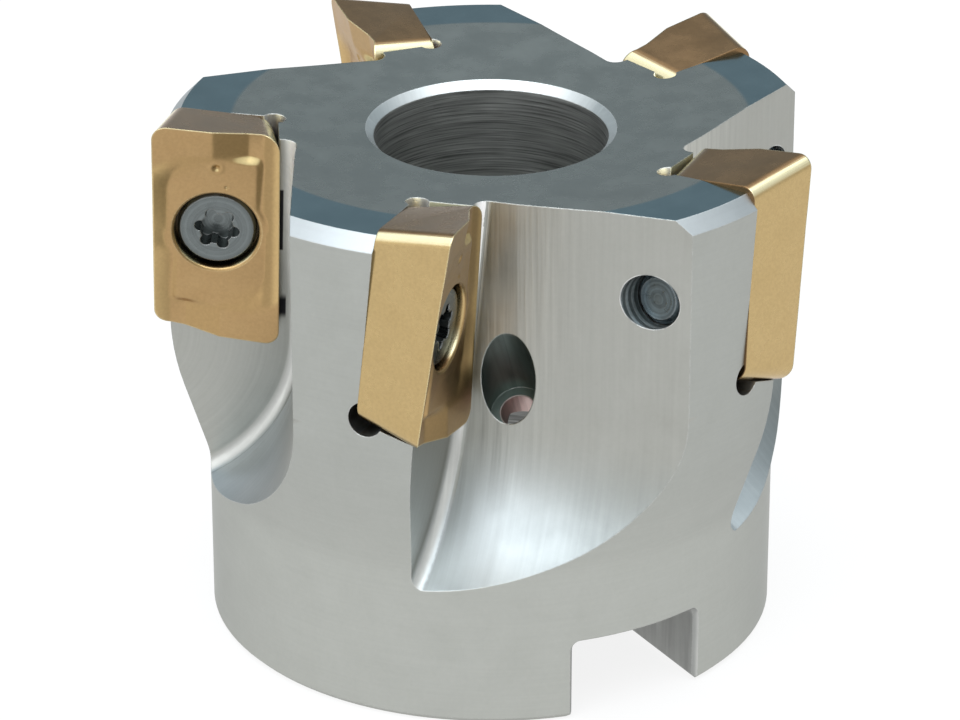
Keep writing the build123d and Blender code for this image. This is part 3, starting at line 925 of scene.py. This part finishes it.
def make_gold_coating():
    """Carbide with a gold titanium nitride coating: pale flanks, browner rake face and ends, with painted
    highlights and painted shade on the rake face, corners and recess.
    """
    material, tree, surface, place, facing = new_metal("gold_coating")
    tooth = use(tree, tooth_frame, Place=place, Facing=facing)
    to_side, to_end, to_rake = (
        reach_along(tree, tooth["Facing"], way) for way in (-seat_across, edge_upward, seat_normal)
    )
    off_axis, above_seat = place_round_screw(tree, place)
    across, along = use(tree, seat_place, Tooth_Place=tooth["Place"]).values()
    rake = ramp(tree, to_rake, 0.6, 0.8)
    land = times(tree, rake, ramp(tree, to_rake, 0.99, 0.965))
    painted_light_toward_edge = ramp(tree, calc(tree, "ABSOLUTE", across), 3 * MM, 4.7 * MM)
    painted_groove_shade = times(
        tree, land, ramp(tree, across, 3.2 * MM, 3.6 * MM), within(tree, across, 3.9 * MM, 0.5 * MM)
    )
    step = times(tree, rake, ramp(tree, to_end, 0.3, 0.5), ramp(tree, along, 0.0, 1 * MM))
    painted_underside_shade = ramp(tree, to_rake, -0.6, -0.8)
    end = ramp(tree, calc(tree, "ABSOLUTE", to_end), 0.75, 0.9)
    painted_nose_highlight = times(tree, ramp(tree, calc(tree, "ABSOLUTE", to_side), 0.3, 0.6), ramp(tree, to_end, 0.3, 0.6))
    recess = within(tree, off_axis, RECESS_RADIUS - 0.05 * MM, 0.08 * MM)

    x, y, height = parts_of(tree, place)
    sideways = calc(tree, "ADD", x, y)
    grinding = use(tree, tool_lines, Across=height, Along=sideways, Spacing=0.12 * MM, Run=4 * MM, Seed=1.0)
    clouds = use(tree, mottle, Place=place, Size=2.2 * MM, Contrast=1.6)["Tone"]
    grain = use(tree, mottle, Place=place, Size=0.25 * MM, Contrast=1.3)["Tone"]
    wear_and_sheen = use(tree, edge_wear_and_sheen, Place=place, Width=0.16 * MM, Patchiness=0.25)
    worn_and_lit_edges = times(tree, wear_and_sheen["Edge"], ramp(tree, above_seat, 3 * MM, 3.6 * MM))

    tone = blend(tree, clouds, (0.49, 0.355, 0.165), (0.54, 0.395, 0.19))
    tone = blend(tree, rake, tone, blend(tree, clouds, (0.405, 0.26, 0.12), (0.47, 0.315, 0.152)))
    # Land lighter towards the cutting edges: painted light
    tone = blend(tree, land, tone, blend(tree, painted_light_toward_edge, (0.43, 0.285, 0.13), (0.57, 0.40, 0.185)))
    # Painted shade in the groove on the inner side of the land
    tone = blend(tree, calc(tree, "MULTIPLY", painted_groove_shade, 0.75), tone, (0.32, 0.215, 0.098))
    # Painted highlight on the end wall of the chip former, upper half only
    tone = blend(tree, step, tone, (0.68, 0.54, 0.27))
    # Painted shade on the insert's underside
    tone = blend(tree, painted_underside_shade, tone, (0.24, 0.145, 0.07))
    tone = blend(tree, end, tone, blend(tree, clouds, (0.245, 0.145, 0.068), (0.31, 0.188, 0.093)))
    tone = shaded(tree, tone, ramp(tree, grain, 0.2, 0.8, 0.95, 1.05))
    # Painted highlight on the band round the corners between flank and end
    tone = blend(tree, painted_nose_highlight, tone, (0.85, 0.77, 0.5))
    # Top edges lighter: wear and painted highlight
    tone = blend(tree, worn_and_lit_edges, tone, (0.80, 0.69, 0.42))
    # Painted shade: dark in the recess round the screw head
    tone = blend(tree, recess, tone, (0.06, 0.05, 0.035))
    dull = calc(tree, "MULTIPLY_ADD", rake, 0.12, ramp(tree, clouds, 0.2, 0.8, 0.22, 0.29))
    relief = calc(tree, "MULTIPLY_ADD", grain, 0.3, grinding["Lines"])
    dress(tree, surface, tone, dull, relief, 0.16, wear_and_sheen["Normal"])
    return material


def make_dark_screw_steel():
    """Hardened screw steel with a dark oxide finish, turned in rings, and lighter on its rims as wear and
    painted highlight.
    """
    material, tree, surface, place, _ = new_metal("dark_screw_steel")
    off_axis, above_seat = place_round_screw(tree, place)
    rings = use(tree, tool_lines, Across=off_axis, Along=above_seat, Spacing=0.28 * MM, Run=10 * MM)
    rings = rings["Lines"]
    clouds = use(tree, mottle, Place=place, Size=0.9 * MM, Contrast=1.6)["Tone"]
    wear_and_sheen = use(tree, edge_wear_and_sheen, Place=place, Width=0.15 * MM, Patchiness=0.3)
    head = ramp(tree, above_seat, 0.0, 1 * MM)
    tone = blend(tree, clouds, (0.09, 0.12, 0.14), (0.17, 0.215, 0.24))
    tone = blend(tree, head, tone, blend(tree, clouds, (0.125, 0.14, 0.14), (0.185, 0.205, 0.205)))
    tone = shaded(tree, tone, ramp(tree, rings, 0.3, 0.7, 0.8, 1.2))
    # Rims lighter: wear and painted highlight
    tone = blend(tree, wear_and_sheen["Edge"], tone, (0.36, 0.37, 0.37))
    dull = ramp(tree, clouds, 0.2, 0.8, 0.24, 0.38)
    relief = calc(tree, "MULTIPLY_ADD", clouds, 0.5, rings)
    dress(tree, surface, tone, dull, relief, 0.35, wear_and_sheen["Normal"])
    return material


satin_steel = make_satin_steel()
gold_coating = make_gold_coating()
dark_screw_steel = make_dark_screw_steel()

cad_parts["cutter_body"].material_slots[0].material = satin_steel
for tooth in range(1, TEETH + 1):
    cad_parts[f"clamp_screw_{tooth}"].material_slots[0].material = dark_screw_steel
make_inserts()


# Camera where the photograph was taken. Its aim point puts the cutter right of and above the centre.
CAMERA_AZIMUTH = math.radians(-121.0)
CAMERA_RISE = math.radians(25.125)
CAMERA_DISTANCE = 352.96 * MM
CAMERA_LENS = 177.364
SENSOR = 36.0
FRAME_PIXELS = 960
TARGET = Vector((0, 0, 20.5 * MM))
TARGET_OFF_CENTRE = (10.89, 16.03)

# Studio light: the bright and the dim side of the room, behind the cutter, round the horizon, overhead
ROOM_LEFT = (1.15, 1.17, 1.17)
ROOM_RIGHT = (0.78, 0.8, 0.8)
ROOM_BEHIND = (0.40, 0.46, 0.485)
HORIZON = (0.88, 0.89, 0.89)
OVERHEAD = (1.34, 1.42, 1.46)
HORIZON_BAND = (0.08, 0.0)
LAMP_COLOUR = (0.95, 1.0, 1.04)

# White floor, a little below the cutter so that their faces don't lie in one plane
FLOOR_REACH = 3.0
FLOOR_LEVEL = -0.02 * MM
FLOOR_WHITE_SHARE = 0.85


def any_of(tree, path, *kinds):
    """Whether a ray is of one of these kinds."""
    found = path[kinds[0]]
    for kind in kinds[1:]:
        found = calc(tree, "MAXIMUM", found, path[kind])
    return found


def make_floor():
    """The camera, metal and glass see it white, and the cutter's shadow stays on it in part."""
    ways = ((-1, -1), (1, -1), (1, 1), (-1, 1))
    corners = [(x * FLOOR_REACH, y * FLOOR_REACH, FLOOR_LEVEL) for x, y in ways]
    mesh = bpy.data.meshes.new("studio_floor")
    mesh.from_pydata(corners, [], [(0, 1, 2, 3)])
    add_to_scene("studio_floor", mesh)
    material = bpy.data.materials.new("pale_floor")
    tree = empty_tree(material)
    path = put(tree, "ShaderNodeLightPath").outputs
    seen = any_of(tree, path, "Is Camera Ray", "Is Glossy Ray", "Is Transmission Ray")
    share = calc(tree, "MULTIPLY", seen, FLOOR_WHITE_SHARE)
    paint = put(tree, "ShaderNodeBsdfDiffuse", {"Color": (0.9, 0.9, 0.9, 1)}).outputs[0]
    glow = put(tree, "ShaderNodeEmission", {"Color": (1, 1, 1, 1), "Strength": 1.0}).outputs[0]
    both = put(tree, "ShaderNodeMixShader", {0: share, 1: paint, 2: glow}).outputs[0]
    tree.links.new(both, put(tree, "ShaderNodeOutputMaterial").inputs[0])
    mesh.materials.append(material)


def make_sky():
    """White round the horizon, a calm grey blue behind the cutter and soft light overhead."""
    world = bpy.data.worlds.new("soft_sky")
    bpy.context.scene.world = world
    tree = empty_tree(world)
    way = put(tree, "ShaderNodeTexCoord").outputs["Generated"]
    height = parts_of(tree, way)[2]
    behind, right = (
        reach_along(tree, way, (math.cos(azimuth), math.sin(azimuth), 0))
        for azimuth in (CAMERA_AZIMUTH + math.pi, CAMERA_AZIMUTH + math.pi / 2)
    )
    low = ramp(tree, height, *HORIZON_BAND)
    room = blend(tree, ramp(tree, right, -0.6, 0.6), ROOM_LEFT, ROOM_RIGHT)
    room = blend(tree, ramp(tree, behind, -0.1, 0.45), room, ROOM_BEHIND)
    sky = blend(tree, low, room, HORIZON)
    sky = blend(tree, ramp(tree, height, 0.62, 0.84), sky, OVERHEAD)
    lit = put(tree, "ShaderNodeBackground", {"Color": sky, "Strength": 1.0}).outputs[0]
    white = put(tree, "ShaderNodeBackground", {"Color": (1, 1, 1, 1), "Strength": 1.0}).outputs[0]
    path = put(tree, "ShaderNodeLightPath").outputs
    in_metal = calc(tree, "MULTIPLY", path["Is Glossy Ray"], low)
    seen = calc(tree, "MAXIMUM", any_of(tree, path, "Is Camera Ray", "Is Transmission Ray"), in_metal)
    both = put(tree, "ShaderNodeMixShader", {0: seen, 1: lit, 2: white}).outputs[0]
    tree.links.new(both, put(tree, "ShaderNodeOutputWorld").inputs[0])


def point_at(thing, place, target):
    """Stands a lamp or the camera at a place and turns it to look at another."""
    thing.location = place
    thing.rotation_mode = "QUATERNION"
    thing.rotation_quaternion = (target - thing.location).to_track_quat("-Z", "Y")


def make_lamp(name, place, width, radiance):
    """A square soft lamp turned to the cutter. Its energy keeps the same radiance at any width."""
    lamp = bpy.data.lights.new(name, "AREA")
    lamp.shape = "SQUARE"
    lamp.size = width
    lamp.energy = radiance * math.pi * width * width
    lamp.color = LAMP_COLOUR
    point_at(add_to_scene(name, lamp), Vector(place), TARGET)


def make_camera():
    data = bpy.data.cameras.new("camera")
    data.lens = CAMERA_LENS
    data.sensor_width = SENSOR
    data.clip_start, data.clip_end = 0.01, 20
    rise, run = math.sin(CAMERA_RISE), math.cos(CAMERA_RISE)
    back = Vector((run * math.cos(CAMERA_AZIMUTH), run * math.sin(CAMERA_AZIMUTH), rise))
    right = UPRIGHT.cross(back).normalized()
    upward = back.cross(right)
    pixel = CAMERA_DISTANCE * SENSOR / CAMERA_LENS / FRAME_PIXELS
    aim = TARGET - right * TARGET_OFF_CENTRE[0] * pixel - upward * TARGET_OFF_CENTRE[1] * pixel
    camera = add_to_scene("camera", data)
    point_at(camera, TARGET + back * CAMERA_DISTANCE, aim)
    bpy.context.scene.camera = camera


make_floor()
make_sky()
make_lamp("overhead_softbox", (-0.05, -0.1, 0.75), 0.8, 1.75)
make_lamp("front_softbox", (-0.6, -0.18, 0.52), 0.42, 1.6)
make_camera()
bpy.context.scene.view_settings.view_transform = "Standard"
